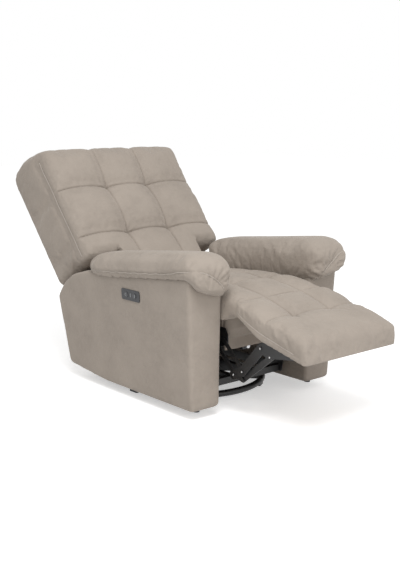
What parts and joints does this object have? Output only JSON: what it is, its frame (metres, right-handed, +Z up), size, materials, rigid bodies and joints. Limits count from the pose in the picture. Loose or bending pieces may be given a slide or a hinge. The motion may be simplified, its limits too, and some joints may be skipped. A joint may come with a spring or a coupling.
{
  "type": "swivel power recliner",
  "caption": "Upholstered power recliner on a round swivel ring base, laid back, with a linkage-borne footrest, padded arms and a switch plate on one arm.",
  "frame": {"origin": "on the floor, at the middle of the open chair's overall length and width", "axes": "+Z up, -Y towards the footrest, +X towards the sitter's left arm"},
  "size_m": [0.882, 1.8003, 1.0093],
  "materials": {
    "black_steel": "semi-gloss black enamel",
    "zinc_plated_steel": "zinc plated",
    "bearing_steel": "polished",
    "spring_wire": "oiled wire",
    "taupe_fabric": "soft brushed velvet, warm grey taupe",
    "frame_wood": "raw sawn wood",
    "black_plastic": "fine matt grain",
    "black_rubber": "matt"
  },
  "bodies": {
    "base": {"ring_tube": "black_steel", "rest_pads": "black_plastic", "cross_arms": "black_steel", "lower_swivel_plate": "black_steel", "bearing_balls": "bearing_steel", "swivel_rivet": "zinc_plated_steel"},
    "first_links": {"left_first_link": "black_steel", "right_first_link": "black_steel"},
    "second_links": {"left_second_link": "black_steel", "right_second_link": "black_steel", "cross_tube": "black_steel", "drive_crank": "black_steel"},
    "wide_links": {"left_wide_link": "black_steel", "right_wide_link": "black_steel"},
    "inner_links": {"left_inner_link": "black_steel", "right_inner_link": "black_steel"},
    "footrest": {"left_footrest_bracket": "black_steel", "right_footrest_bracket": "black_steel", "footrest_board": "frame_wood", "footrest_pad": "taupe_fabric", "footrest_bumpers": "black_rubber"},
    "drive_block": {"travelling_block": "black_plastic"},
    "back": {"left_back_bracket": "black_steel", "right_back_bracket": "black_steel", "back_stiles": "frame_wood", "back_top_board": "frame_wood", "back_bottom_board": "frame_wood", "back_springs": "spring_wire", "back_cushion": "taupe_fabric", "lower_back_cushion": "taupe_fabric", "back_cover": "taupe_fabric"},
    "front_button": {"front_button": "black_plastic"},
    "rear_button": {"rear_button": "black_plastic"},
    "chassis": {"upper_swivel_plate": "black_steel", "left_base_rail": "black_steel", "right_base_rail": "black_steel", "front_cross_bar": "black_steel", "rear_cross_bar": "black_steel", "left_side_plate": "black_steel", "right_side_plate": "black_steel", "arm_ties": "black_steel", "seat_front_board": "frame_wood", "seat_rear_board": "frame_wood", "left_seat_board": "frame_wood", "right_seat_board": "frame_wood", "seat_springs": "spring_wire", "seat_cushion": "taupe_fabric", "seat_fascia": "taupe_fabric", "left_arm": "taupe_fabric", "right_arm": "taupe_fabric", "left_arm_pad": "taupe_fabric", "right_arm_pad": "taupe_fabric", "arm_glides": "black_plastic", "rear_panel": "taupe_fabric", "power_inlet": "black_plastic", "switch_plate": "black_plastic", "gear_housing": "black_plastic", "drive_motor": "black_steel", "spindle_tube": "zinc_plated_steel"}
  },
  "joints": [
    {"name": "swivel", "type": "hinge", "parent": "base", "child": "chassis", "pos_m": [0, 0.036, 0], "axis": [0, 0, 1], "continuous": true},
    {"name": "back_raise", "type": "hinge", "parent": "chassis", "child": "back", "pos_m": [0, 0.156, 0.4], "axis": [1, 0, 0], "range_deg": [0, 28]},
    {"name": "footrest_fold", "type": "hinge", "parent": "chassis", "child": "first_links", "pos_m": [0, -0.409, 0.3], "axis": [1, 0, 0], "range_deg": [0, 96]},
    {"name": "second_link_turn", "type": "hinge", "parent": "chassis", "child": "second_links", "pos_m": [0, -0.361, 0.286], "axis": [1, 0, 0], "range_deg": [0, 93.2]},
    {"name": "wide_link_turn", "type": "hinge", "parent": "first_links", "child": "wide_links", "pos_m": [0, -0.526, 0.192], "axis": [1, 0, 0], "range_deg": [-92.1, 0]},
    {"name": "footrest_turn", "type": "hinge", "parent": "wide_links", "child": "footrest", "pos_m": [0, -0.632, 0.308], "axis": [1, 0, 0], "range_deg": [0, 72.3]},
    {"name": "inner_link_turn", "type": "hinge", "parent": "second_links", "child": "inner_links", "pos_m": [0, -0.521, 0.157], "axis": [1, 0, 0], "range_deg": [-89.9, 0]},
    {"name": "block_travel", "type": "slide", "parent": "chassis", "child": "drive_block", "axis": [0, 1, 0], "range_m": [0, 0.0364]},
    {"name": "front_button_press", "type": "slide", "parent": "chassis", "child": "front_button", "axis": [0.9988, 0, 0.048], "range_m": [0, 0.0015], "stiffness_N_per_m": 500, "springref_m": -0.001},
    {"name": "rear_button_press", "type": "slide", "parent": "chassis", "child": "rear_button", "axis": [0.9988, 0, 0.048], "range_m": [0, 0.0015], "stiffness_N_per_m": 500, "springref_m": -0.001}
  ],
  "couplings": [
    {"joint": "second_link_turn", "follows": "footrest_fold", "ratio": 0.96948},
    {"joint": "wide_link_turn", "follows": "footrest_fold", "ratio": -0.95865},
    {"joint": "footrest_turn", "follows": "footrest_fold", "ratio": 0.75208},
    {"joint": "inner_link_turn", "follows": "footrest_fold", "ratio": -0.93521},
    {"joint": "block_travel", "follows": "footrest_fold", "m_per_rad": 0.021665}
  ]
}
